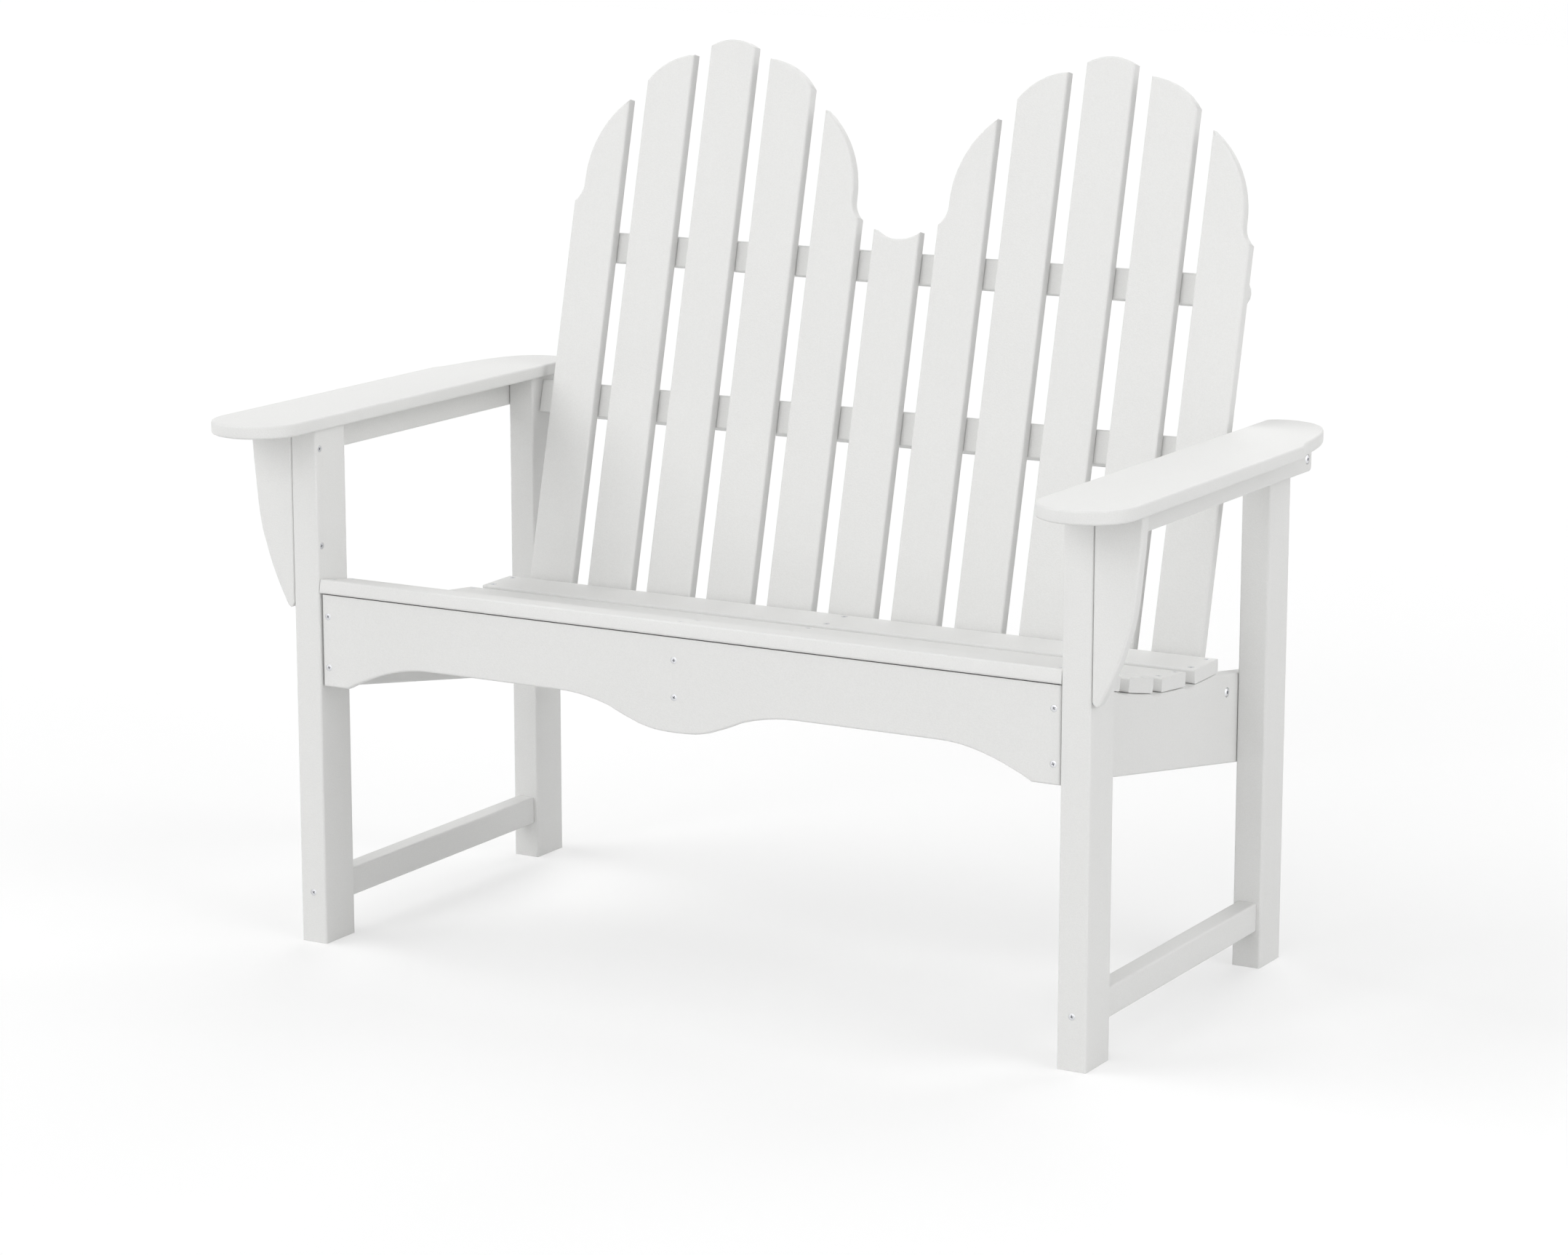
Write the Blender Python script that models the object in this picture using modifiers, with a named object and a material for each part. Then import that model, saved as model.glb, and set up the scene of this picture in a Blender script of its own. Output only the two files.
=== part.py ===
"""Adirondack loveseat: a slatted two-seat garden bench of plastic lumber boards.

Every board is its own object, and so is each screw and bolt of the frame. The many small
screws of the slats have their holes here and no solids. Lengths are in metres, X runs along
the seat, Y runs from front to back and Z is up.
"""
import bpy
import bmesh
import math
from mathutils import Matrix, Vector

for old in list(bpy.data.objects):
    bpy.data.objects.remove(old, do_unlink=True)

# Driving sizes

FRAME_WIDTH = 1.0667        # over the outer faces of the legs
FRAME_DEPTH = 0.5314        # front of the front legs to back of the back legs
SEAT_HEIGHT = 0.4494        # middle of the front slat's upper face
ARM_UNDERSIDE = 0.6350      # height of the leg tops
BOARD_THICK = 0.0160        # back slats, arms, apron, brackets and upper back rail
SLAT_WIDTH = 0.0649         # of the seat and back slats
SEAT_SLAT_THICK = 0.0174    # the seat slats are slightly thicker
EDGE_ROUND = 0.0028         # rounding of the boards' edges
END_ROUND_SHARE = 0.25      # rounding of sawn ends, as a share of the edge rounding
GAP = 0.0003                # between pieces that touch

# Legs and lower stretchers

LEG_WIDTH = 0.0365
LEG_DEPTH = 0.0599
STRETCHER_WIDTH = 0.0251
STRETCHER_HEIGHT = 0.0356
STRETCHER_MIDDLE = 0.0628   # height of its centre line

# Arms, the rails under them and the brackets in front

ARM_WIDTH = 0.1146
ARM_REACH_IN = 0.0068       # of the arm's inner edge, inwards from the legs
ARM_FRONT_OVERHANG = 0.0991
ARM_REAR_OVERHANG = 0.0341
ARM_TAPER_LENGTH = 0.1648   # of the rear corner that draws in
ARM_REAR_SHARES = (         # of the arm's width inwards, of the taper forwards
    (0.000, 1.000), (0.028, 0.945), (0.053, 0.885), (0.070, 0.812), (0.086, 0.736),
    (0.100, 0.660), (0.118, 0.586), (0.137, 0.512), (0.160, 0.441), (0.186, 0.373),
    (0.216, 0.310), (0.250, 0.251), (0.288, 0.197), (0.333, 0.147), (0.384, 0.106),
    (0.443, 0.069), (0.506, 0.041), (0.574, 0.021), (0.650, 0.006), (0.724, 0.001),
    (0.794, 0.000), (0.846, 0.009), (0.883, 0.017), (0.916, 0.027), (0.951, 0.041),
    (0.983, 0.064), (1.000, 0.089),
)
UNDER_RAIL_THICK = 0.0237
UNDER_RAIL_HEIGHT = 0.0375
UNDER_RAIL_OVERHANG = 0.0050    # behind the back legs
UNDER_RAIL_CORNER = 0.0060
BRACKET_WIDTH = 0.0588
BRACKET_HEIGHT = 0.2192
BRACKET_SHARES = (          # of the width out from the leg, of the height down
    (1.000, 0.000), (0.985, 0.086), (0.958, 0.187), (0.929, 0.269), (0.912, 0.318),
    (0.870, 0.428), (0.846, 0.479), (0.819, 0.527), (0.760, 0.598), (0.690, 0.655),
    (0.629, 0.708), (0.541, 0.776), (0.457, 0.829), (0.392, 0.868), (0.318, 0.910),
    (0.244, 0.947), (0.203, 0.970), (0.157, 0.991), (0.110, 1.000), (0.065, 0.997),
    (0.028, 0.988), (0.000, 0.974),
)

# Front apron

APRON_SIDE_GAP = 0.0017     # to each leg
APRON_FRONT = 0.0031        # how far its face lies behind the legs' faces
APRON_GROOVE = 0.0012       # between its sawn top and the front slat
APRON_HEIGHT = 0.1131       # of its face, at the ends
APRON_RISE = 0.0337         # of the two arches in its lower edge
APRON_SHARES = (            # of the half length out from the middle, of the rise
    (1.0000, 0.000), (0.9283, 0.000), (0.9121, 0.131), (0.8976, 0.237), (0.8798, 0.350),
    (0.8582, 0.484), (0.8348, 0.614), (0.8079, 0.742), (0.7811, 0.846), (0.7506, 0.938),
    (0.7182, 0.988), (0.6912, 1.000), (0.3232, 1.000), (0.2963, 0.988), (0.2692, 0.953),
    (0.2424, 0.893), (0.2155, 0.810), (0.1885, 0.703), (0.1741, 0.629), (0.1616, 0.540),
    (0.1400, 0.409), (0.1186, 0.294), (0.0970, 0.178), (0.0753, 0.101), (0.0557, 0.050),
    (0.0269, 0.021), (0.0000, 0.012),
)

# Seat rails and seat slats

SEAT_RAIL_THICK = 0.0236
SEAT_RAIL_FRONT_DROP = 0.1242   # of its lower edge, at the front of the legs
SEAT_RAIL_REAR_DROP = 0.2090    # and at the back of the legs, both below the seat height
SEAT_RAIL_TOP_DROP = 0.0991     # of its upper edge at the back of the legs
CENTRE_RAIL_RISE = 0.0150       # of the centre rail's lower edge, above the side rails'
RAIL_STEP_BACK = 0.0044         # where that edge starts, behind the last slat's seat
RAIL_STEP_DOWN = 0.0026
SEAT_FIRST_Y = 0.0347           # middle of the first slat, back from the legs' faces
SEAT_LAST_CLEAR = 0.0893        # middle of the last slat to the back legs
SEAT_DROP = 0.0625              # of the last slat below the first
SEAT_RUN_SHARES = (0.0, 0.2466, 0.4961, 0.7442, 1.0)
SEAT_DROP_SHARES = (0.0, 0.392, 0.720, 0.9264, 1.0)
SEAT_TILTS_DEGREES = (-8.9, -14.2, -11.8, -5.2, 1.0)
SEAT_SAG = 0.0007               # of the rails' upper edge under a slat
SEAT_SAG_SHARES = (0.0, 0.3, 0.7, 1.0, 0.9)
SEAT_DIP = 0.0020           # of that edge in the gap between two slats
SEAT_DIP_SHARES = (0.2, 0.8)    # where it is deepest, of the way from slat to slat

# Back slats, measured up along them from the last seat slat, and back rails

SEAT_BACK_GAP = 0.0054      # between the last seat slat and the back slats
BACK_SIDE_GAP = 0.0015      # between the outer back slats and the seat rails
NOTCH_INSET = 0.0118        # where the outer slats are narrowest, in from their edge
NOTCH_UP = 0.5097
NOTCH_STRAIGHT = 0.0045
FLARE_EDGE_UP = 0.4858      # where that edge starts to draw in
FLARE_RADIUS = 0.0302
OUTER_HIGH_UP = 0.6190
OUTER_RADIUS = 0.1283
INNER_LOW_UP = 0.6442
INNER_HIGH_UP = 0.6799
INNER_RADIUS = 0.0859
CROWN_EDGE_UP = 0.6926
CROWN_RADIUS = 0.0636
SADDLE_ABOVE = 0.0249       # edges of the short middle slat above the upper rail
SADDLE_RADIUS = 0.0560
UPPER_RAIL_HEIGHT = 0.0386
UPPER_RAIL_UP = 0.4308
UPPER_RAIL_INSET = 0.0033   # of its ends, in from the outer slats' edges
MIDDLE_RAIL_HEIGHT = 0.0419
MIDDLE_RAIL_DEPTH = 0.0599
MIDDLE_RAIL_DROP = 0.0038   # of its upper front edge below the arms
MIDDLE_RAIL_SETBACK = 0.0351    # of that edge, in from the back of the legs
LOWER_RAIL_HEIGHT = 0.0419
LOWER_RAIL_DEPTH = 0.0317
LOWER_RAIL_DROP = 0.0397    # of its centre line below the last seat slat

# Fasteners

SCREW_RADIUS = 0.0021
SCREW_HEAD_RADIUS = 0.0042
SCREW_HEAD_HEIGHT = 0.0021
SCREW_TIP_RADIUS = 0.0007
SCREW_TIP = 0.0040
SCREW_SET = 0.0002          # how far a flush head lies below the surface
BOARD_BITE = 0.0105         # how far a screw goes into a thin board
SEAT_BITE = 0.0155          # from a seat slat into its rail
DEEP_BITE = 0.0210          # into the thicker pieces of the frame
LONG_BITE = 0.0300
BOLT_RADIUS = 0.0030
BOLT_HEAD_RADIUS = 0.0056
BOLT_HEAD_HEIGHT = 0.0022
BOLT_SUNK = 0.0026
BOLT_BITE = 0.0240
SOCKET_RADIUS = 0.0021
SOCKET_DEPTH = 0.0014
CLEARANCE = 0.0003
OVERCUT = 0.0020            # how far a cutter reaches out of a surface
BRACKET_SCREW_SHARES = (0.1058, 0.6442)     # down the bracket
ARM_SCREW_SHARES = (0.16, 0.815)            # back along the rail under the arm
ARM_SCREW_WEB = 0.0120      # left of that rail above the screw's head
APRON_SCREW_INSET = 0.0085  # from the apron's ends
APRON_SIDE_SHARES = (0.7639, 0.2104)        # up the apron's ends
APRON_MIDDLE_SHARES = (0.7639, 0.3767)      # and at its middle
SLAT_SCREW_INSET = 0.0102   # from a seat slat's long edges
SLAT_SCREW_END = 0.0097     # from its ends
FRONT_SCREW_INSET = 0.0161  # of the front slat's first row, which enters the apron
RAIL_SCREW_SHARES = (0.27, 0.73)            # up the seat rail, where it meets a leg
RAIL_WEB = 0.0160           # left under the heads in the deep back rails
ARM_BOLT_SETBACK = 0.0091   # from the back of the legs
ARM_BOLT_SHARE = 0.58       # down the rail under the arm

SCREW_SIDES = 8
BOLT_SIDES = 16
ROUND_STEPS = 2

# Sizes that follow from those above

LEG_OUTER = FRAME_WIDTH / 2
LEG_INNER = LEG_OUTER - LEG_WIDTH
LEG_CENTRE = LEG_OUTER - LEG_WIDTH / 2
SEAT_RAIL_OUTER = LEG_INNER - GAP
SEAT_RAIL_INNER = SEAT_RAIL_OUTER - SEAT_RAIL_THICK
RAIL_FRONT = APRON_FRONT + BOARD_THICK + GAP
HALF_SLAT = SLAT_WIDTH / 2

# The seat slats' places: middle of each upper face, direction back along it, and upwards

seat_last_y = FRAME_DEPTH - LEG_DEPTH - SEAT_LAST_CLEAR
seat_places = []
for run, drop, tilt_degrees in zip(SEAT_RUN_SHARES, SEAT_DROP_SHARES, SEAT_TILTS_DEGREES):
    tilt = math.radians(tilt_degrees)
    middle = Vector((
        SEAT_FIRST_Y + run * (seat_last_y - SEAT_FIRST_Y), SEAT_HEIGHT - drop * SEAT_DROP,
    ))
    along = Vector((math.cos(tilt), math.sin(tilt)))
    seat_places.append((middle, along, Vector((-along.y, along.x))))

# The back leans from just behind the last seat slat to its middle rail between the legs

last_middle, last_along, last_normal = seat_places[-1]
last_edge = last_middle + last_along * HALF_SLAT
BACK_FOOT_Y = last_edge.x + SEAT_BACK_GAP
BACK_FOOT_Z = last_edge.y
RAIL_BEHIND = BOARD_THICK + GAP     # the back rails' front faces, behind the slats' fronts
corner_back = FRAME_DEPTH - MIDDLE_RAIL_SETBACK - BACK_FOOT_Y
corner_up = ARM_UNDERSIDE - MIDDLE_RAIL_DROP - BACK_FOOT_Z
corner_far = math.hypot(corner_back, corner_up)
LEAN = math.atan2(corner_back, corner_up) - math.asin(RAIL_BEHIND / corner_far)
MIDDLE_RAIL_UP = math.sqrt(corner_far ** 2 - RAIL_BEHIND ** 2) - MIDDLE_RAIL_HEIGHT / 2
LOWER_RAIL_UP = -LOWER_RAIL_DROP
BACK_SLAT_LOW = LOWER_RAIL_UP - LOWER_RAIL_HEIGHT / 2

crown_rise = CROWN_RADIUS - math.sqrt(CROWN_RADIUS ** 2 - HALF_SLAT ** 2)
REAR_REACH = (
    BACK_FOOT_Y + (CROWN_EDGE_UP + crown_rise - EDGE_ROUND) * math.sin(LEAN)
    + (BOARD_THICK - EDGE_ROUND) * math.cos(LEAN) + EDGE_ROUND
)
MIDDLE_Y = (REAR_REACH - ARM_FRONT_OVERHANG) / 2

pieces = bpy.data.collections.new("adirondack_loveseat")
cutters = bpy.data.collections.new("cutters")
bpy.context.scene.collection.children.link(pieces)
bpy.context.scene.collection.children.link(cutters)

holes = {}


# Materials

def material(name, colour, roughness, metallic):
    made = bpy.data.materials.new(name)
    made.use_nodes = True
    shader = made.node_tree.nodes["Principled BSDF"]
    shader.inputs["Base Color"].default_value = (colour[0], colour[1], colour[2], 1.0)
    shader.inputs["Roughness"].default_value = roughness
    shader.inputs["Metallic"].default_value = metallic
    made.diffuse_color = (colour[0], colour[1], colour[2], 1.0)
    return made


def lumber(name):
    return material(name, (0.78, 0.78, 0.77), 0.55, 0.0)


def steel(name):
    return material(name, (0.66, 0.66, 0.66), 0.35, 0.9)


# Boards

def at(x, y, z):
    """A place measured from the front of the legs, in the bench's own frame."""
    return Vector((x, y - MIDDLE_Y, z))


def on_back(across, up, behind):
    """A place on the leaning back: across, up along the slats, behind their front."""
    y = BACK_FOOT_Y + up * math.sin(LEAN) + behind * math.cos(LEAN)
    z = BACK_FOOT_Z + up * math.cos(LEAN) - behind * math.sin(LEAN)
    return at(across, y, z)


def finish_board(name, mesh, place, turn):
    board = bpy.data.objects.new(name, mesh)
    pieces.objects.link(board)
    board.location = place
    board.rotation_euler = turn
    board.data.materials.clear()
    board.data.materials.append(lumber(name))
    rounding = board.modifiers.new("rounded_edges", "BEVEL")
    rounding.width = EDGE_ROUND
    rounding.segments = ROUND_STEPS
    rounding.limit_method = "WEIGHT"
    rounding.use_clamp_overlap = False
    return board


def weigh_edges(mesh, weight_of):
    """Give each edge the share of the rounding that weight_of returns for it."""
    weights = mesh.attributes.new("bevel_weight_edge", "FLOAT", "EDGE")
    for edge in mesh.edges:
        start = mesh.vertices[edge.vertices[0]].co
        end = mesh.vertices[edge.vertices[1]].co
        weights.data[edge.index].value = weight_of(start, end)


def box_board(name, size, long_axis, place, turn=(0.0, 0.0, 0.0)):
    """A straight board: long edges fully rounded, sawn ends only eased."""
    shape = bmesh.new()
    bmesh.ops.create_cube(shape, size=1.0)
    bmesh.ops.scale(shape, vec=Vector(size), verts=shape.verts)
    mesh = bpy.data.meshes.new(name)
    shape.to_mesh(mesh)
    shape.free()

    def weight_of(start, end):
        along = end - start
        return 1.0 if abs(along[long_axis]) > along.length / 2 else END_ROUND_SHARE

    weigh_edges(mesh, weight_of)
    return finish_board(name, mesh, place, turn)


def outline_board(name, outline, thickness, place, turn, sharp_ends=None):
    """A board sawn to a closed outline, with both faces' edges rounded."""
    curve = bpy.data.curves.new(name, "CURVE")
    curve.dimensions = "2D"
    curve.fill_mode = "BOTH"
    curve.extrude = thickness / 2
    spline = curve.splines.new("POLY")
    spline.points.add(len(outline) - 1)
    for point, (across, up) in zip(spline.points, outline):
        point.co = (across, up, 0.0, 1.0)
    spline.use_cyclic_u = True
    drawn = bpy.data.objects.new(name + "_outline", curve)
    pieces.objects.link(drawn)
    drawn.location = place
    drawn.rotation_euler = turn
    bpy.context.view_layer.update()
    seen = drawn.evaluated_get(bpy.context.evaluated_depsgraph_get())
    mesh = bpy.data.meshes.new_from_object(seen)
    mesh.name = name
    shape = bmesh.new()
    shape.from_mesh(mesh)
    bmesh.ops.remove_doubles(shape, verts=shape.verts, dist=GAP / 10)
    flat = math.radians(0.5)
    bmesh.ops.dissolve_limit(
        shape, angle_limit=flat, verts=shape.verts, edges=shape.edges
    )
    shape.to_mesh(mesh)
    shape.free()

    def weight_of(start, end):
        crosses = abs(end.z - start.z) > thickness / 2
        if crosses:
            return 0.0
        if sharp_ends is not None and sharp_ends(start, end):
            return END_ROUND_SHARE
        return 1.0

    weigh_edges(mesh, weight_of)
    bpy.data.objects.remove(drawn, do_unlink=True)
    return finish_board(name, mesh, place, turn)


def cut_with(target, label, shape, place, turn):
    """Take a cutter shape off a board."""
    mesh = bpy.data.meshes.new(target + "_" + label)
    shape.to_mesh(mesh)
    shape.free()
    cutter = bpy.data.objects.new(target + "_" + label, mesh)
    cutters.objects.link(cutter)
    cutter.location = place
    cutter.rotation_euler = turn
    cutter.hide_render = True
    cutter.display_type = "WIRE"
    cut = bpy.data.objects[target].modifiers.new(label, "BOOLEAN")
    cut.operation = "DIFFERENCE"
    cut.solver = "EXACT"
    cut.object = cutter


def saw_cut(target, size, place, turn):
    shape = bmesh.new()
    bmesh.ops.create_cube(shape, size=1.0)
    bmesh.ops.scale(shape, vec=Vector(size), verts=shape.verts)
    cut_with(target, "sawn", shape, place, turn)


def arc(across, up, radius, first, last, steps):
    """Points of an arc, from one angle in degrees to another, both included."""
    points = []
    for step in range(steps + 1):
        angle = math.radians(first + (last - first) * step / steps)
        points.append((across + radius * math.cos(angle), up + radius * math.sin(angle)))
    return points


def arc_between(start, end, radius, steps, hollow=False):
    """Points of an arc between two points, bulging out of the outline or hollow."""
    start = Vector(start)
    end = Vector(end)
    chord = end - start
    half = chord.length / 2
    inwards = Vector((-chord.y, chord.x)).normalized() * (-1.0 if hollow else 1.0)
    centre = (start + end) / 2 + inwards * math.sqrt(radius ** 2 - half ** 2)
    spoke = start - centre
    first = math.degrees(math.atan2(spoke.y, spoke.x))
    sweep = math.degrees(2 * math.asin(half / radius)) * (-1.0 if hollow else 1.0)
    return arc(centre.x, centre.y, radius, first, first + sweep, steps)


def mirrored(outline):
    return [(-across, up) for across, up in reversed(outline)]


# Fasteners

def add_turned(shape, stations, sides, place):
    """A closed turned solid from (radius, distance along its axis) stations."""
    first, second = stations[0], stations[1]
    made = bmesh.ops.create_cone(
        shape, cap_ends=True, segments=sides, radius1=first[0], radius2=second[0],
        depth=second[1] - first[1],
        matrix=Matrix.Translation((0.0, 0.0, (first[1] + second[1]) / 2)),
    )
    verts = set(made["verts"])
    end = max(verts, key=lambda vert: vert.co.z).co.z
    faces = {face for vert in verts for face in vert.link_faces}
    near = (second[1] - first[1]) / 100
    cap = next(face for face in faces if all(v.co.z > end - near for v in face.verts))
    radius, height = second
    for next_radius, next_height in stations[2:]:
        grown = bmesh.ops.extrude_face_region(shape, geom=[cap])["geom"]
        bmesh.ops.delete(shape, geom=[cap], context="FACES_ONLY")
        cap = next(item for item in grown if isinstance(item, bmesh.types.BMFace))
        ring = list(cap.verts)
        share = next_radius / radius
        bmesh.ops.scale(shape, vec=Vector((share, share, 1.0)), verts=ring)
        bmesh.ops.translate(
            shape, vec=Vector((0.0, 0.0, next_height - height)), verts=ring
        )
        verts.update(ring)
        radius, height = next_radius, next_height
    bmesh.ops.transform(shape, matrix=place, verts=list(verts))


def turned_object(name, stations, sides, place):
    shape = bmesh.new()
    add_turned(shape, stations, sides, Matrix.Identity(4))
    mesh = bpy.data.meshes.new(name)
    shape.to_mesh(mesh)
    shape.free()
    made = bpy.data.objects.new(name, mesh)
    pieces.objects.link(made)
    made.data.materials.append(steel(name))
    made.data.shade_smooth()
    made.data.set_sharp_from_angle(angle=math.radians(50.0))
    made.location = place.to_translation()
    made.rotation_euler = place.to_euler()


def facing(point, outward):
    """A frame at a surface point with its Z axis along the outward direction."""
    turn = outward.to_track_quat("Z", "Y").to_matrix().to_4x4()
    return Matrix.Translation(point) @ turn


def screw(name, point, outward, length, targets, sunk=0.0):
    """A flush countersunk screw, and its hole in each of the pieces it enters.

    With no name only the holes are made: the many small screws aren't solids here.
    """
    place = facing(point, outward)
    face = -sunk - SCREW_SET
    neck = face - SCREW_HEAD_HEIGHT
    body = (
        (SCREW_TIP_RADIUS, -length), (SCREW_RADIUS, SCREW_TIP - length),
        (SCREW_RADIUS, neck), (SCREW_HEAD_RADIUS, face),
    )
    hole = (
        (SCREW_RADIUS + CLEARANCE, -length - CLEARANCE),
        (SCREW_RADIUS + CLEARANCE, neck),
        (SCREW_HEAD_RADIUS + CLEARANCE, face),
        (SCREW_HEAD_RADIUS + CLEARANCE, OVERCUT),
    )
    if name:
        turned_object(name, body, SCREW_SIDES, place)
    for target in targets:
        holes.setdefault(target, []).append((hole, SCREW_SIDES, place))


def bolt(name, point, outward, length, targets):
    """A flanged button bolt in a shallow counterbore, with a drive socket."""
    place = facing(point, outward)
    seat = -BOLT_SUNK
    top = seat + BOLT_HEAD_HEIGHT
    body = (
        (BOLT_RADIUS, -length), (BOLT_RADIUS, seat), (BOLT_HEAD_RADIUS, seat),
        (BOLT_HEAD_RADIUS, seat + BOLT_HEAD_HEIGHT / 3),
        (BOLT_HEAD_RADIUS * 3 / 4, top), (SOCKET_RADIUS, top),
        (SOCKET_RADIUS, top - SOCKET_DEPTH),
    )
    hole = (
        (BOLT_RADIUS + CLEARANCE, -length - CLEARANCE),
        (BOLT_RADIUS + CLEARANCE, seat - CLEARANCE),
        (BOLT_HEAD_RADIUS + CLEARANCE * 2, seat - CLEARANCE),
        (BOLT_HEAD_RADIUS + CLEARANCE * 2, OVERCUT),
    )
    turned_object(name, body, BOLT_SIDES, place)
    for target in targets:
        holes.setdefault(target, []).append((hole, BOLT_SIDES, place))


# The legs and the stretchers low between them

SIDES = (("left", -1), ("right", 1))
UPRIGHT = (math.pi / 2, 0.0, 0.0)
SIDEWAYS = (math.pi / 2, 0.0, math.pi / 2)
FORWARD = Vector((0.0, -1.0, 0.0))
REARWARD = Vector((0.0, 1.0, 0.0))
leg_height = ARM_UNDERSIDE - GAP
stretcher_length = FRAME_DEPTH - 2 * LEG_DEPTH - 2 * GAP
for word, side in SIDES:
    for end, middle in (("front", LEG_DEPTH / 2), ("back", FRAME_DEPTH - LEG_DEPTH / 2)):
        box_board(
            "leg_" + end + "_" + word, (LEG_WIDTH, LEG_DEPTH, leg_height), 2,
            at(side * LEG_CENTRE, middle, leg_height / 2),
        )
    box_board(
        "stretcher_" + word, (STRETCHER_WIDTH, stretcher_length, STRETCHER_HEIGHT), 1,
        at(side * LEG_CENTRE, FRAME_DEPTH / 2, STRETCHER_MIDDLE),
    )
    for end, y, outward in (("front", 0.0, FORWARD), ("back", FRAME_DEPTH, REARWARD)):
        screw(
            "stretcher_screw_" + end + "_" + word,
            at(side * LEG_CENTRE, y, STRETCHER_MIDDLE), outward, LEG_DEPTH + LONG_BITE,
            ["leg_" + end + "_" + word, "stretcher_" + word],
        )

# The arms, the rails that carry them and the brackets in front of those

arm_inner_edge = LEG_INNER - ARM_REACH_IN
arm_outer_edge = arm_inner_edge + ARM_WIDTH
arm_rear_end = FRAME_DEPTH + ARM_REAR_OVERHANG
under_rail_rear = FRAME_DEPTH + UNDER_RAIL_OVERHANG
under_rail_front = BOARD_THICK + GAP
under_rail_low = ARM_UNDERSIDE - UNDER_RAIL_HEIGHT
under_middle = LEG_OUTER + GAP + UNDER_RAIL_THICK / 2
under_outer = LEG_OUTER + GAP + UNDER_RAIL_THICK
top = ARM_UNDERSIDE - GAP
for word, side in SIDES:
    front_round = ARM_WIDTH / 2
    plan = arc(
        arm_inner_edge + front_round, front_round - ARM_FRONT_OVERHANG, front_round,
        180.0, 360.0, 20,
    )
    for inwards, forwards in ARM_REAR_SHARES:
        plan.append((
            arm_outer_edge - inwards * ARM_WIDTH,
            arm_rear_end - forwards * ARM_TAPER_LENGTH,
        ))
    if word == "left":
        plan = mirrored(plan)
    outline_board(
        "arm_" + word, plan, BOARD_THICK,
        at(0.0, 0.0, ARM_UNDERSIDE + BOARD_THICK / 2), (0.0, 0.0, 0.0),
    )

    corner = UNDER_RAIL_CORNER
    profile = [(under_rail_front, top), (under_rail_front, under_rail_low)]
    profile += arc(
        under_rail_rear - corner, under_rail_low + corner, corner, -90.0, 0.0, 3
    )
    profile.append((under_rail_rear, top))
    outline_board(
        "under_arm_rail_" + word, profile, UNDER_RAIL_THICK,
        at(side * under_middle, 0.0, 0.0), SIDEWAYS,
    )

    face = LEG_OUTER + GAP
    shape = [(face, top)]
    for outwards, down in reversed(BRACKET_SHARES[1:]):
        shape.append((
            face + outwards * BRACKET_WIDTH, ARM_UNDERSIDE - down * BRACKET_HEIGHT,
        ))
    shape.append((face + BRACKET_WIDTH, top))
    if word == "left":
        shape = mirrored(shape)
    outline_board(
        "arm_bracket_" + word, shape, BOARD_THICK,
        at(0.0, BOARD_THICK / 2, 0.0), UPRIGHT,
    )
    for count, down in enumerate(BRACKET_SCREW_SHARES):
        screw(
            "bracket_screw_" + word + "_" + str(count + 1),
            at(side * LEG_INNER, BOARD_THICK / 2, ARM_UNDERSIDE - down * BRACKET_HEIGHT),
            Vector((-side, 0.0, 0.0)), LEG_WIDTH + DEEP_BITE,
            ["leg_front_" + word, "arm_bracket_" + word],
        )
    for count, back in enumerate(ARM_SCREW_SHARES):
        y = under_rail_front + back * (under_rail_rear - under_rail_front)
        screw(
            "arm_screw_" + word + "_" + str(count + 1),
            at(side * under_middle, y, under_rail_low),
            Vector((0.0, 0.0, -1.0)), UNDER_RAIL_HEIGHT + BOARD_BITE,
            ["under_arm_rail_" + word, "arm_" + word],
            sunk=UNDER_RAIL_HEIGHT - ARM_SCREW_WEB,
        )

# The apron across the front, its top sawn to the slope of the front slat

front_middle, front_along, front_normal = seat_places[0]
sawn = front_middle - front_normal * (SEAT_SLAT_THICK + APRON_GROOVE)
apron_top = sawn.y + (APRON_FRONT - sawn.x) * front_along.y / front_along.x
apron_low = apron_top - APRON_HEIGHT
apron_half = LEG_INNER - APRON_SIDE_GAP
lower = [
    (out * apron_half, apron_low + rise * APRON_RISE) for out, rise in APRON_SHARES
]
uncut_top = apron_top + EDGE_ROUND * 2
apron = [(-out, height) for out, height in lower]
apron += reversed(lower[:-1])
apron += [(apron_half, uncut_top), (-apron_half, uncut_top)]
outline_board(
    "front_apron", apron, BOARD_THICK,
    at(0.0, APRON_FRONT + BOARD_THICK / 2, 0.0), UPRIGHT,
)
saw = sawn + front_normal * SEAT_SLAT_THICK / 2
saw_cut(
    "front_apron", (LEG_INNER * 2, SLAT_WIDTH * 2, SEAT_SLAT_THICK),
    at(0.0, saw.x, saw.y), (math.radians(SEAT_TILTS_DEGREES[0]), 0.0, 0.0),
)

# The three seat rails, whose upper edges follow the slats

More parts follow.
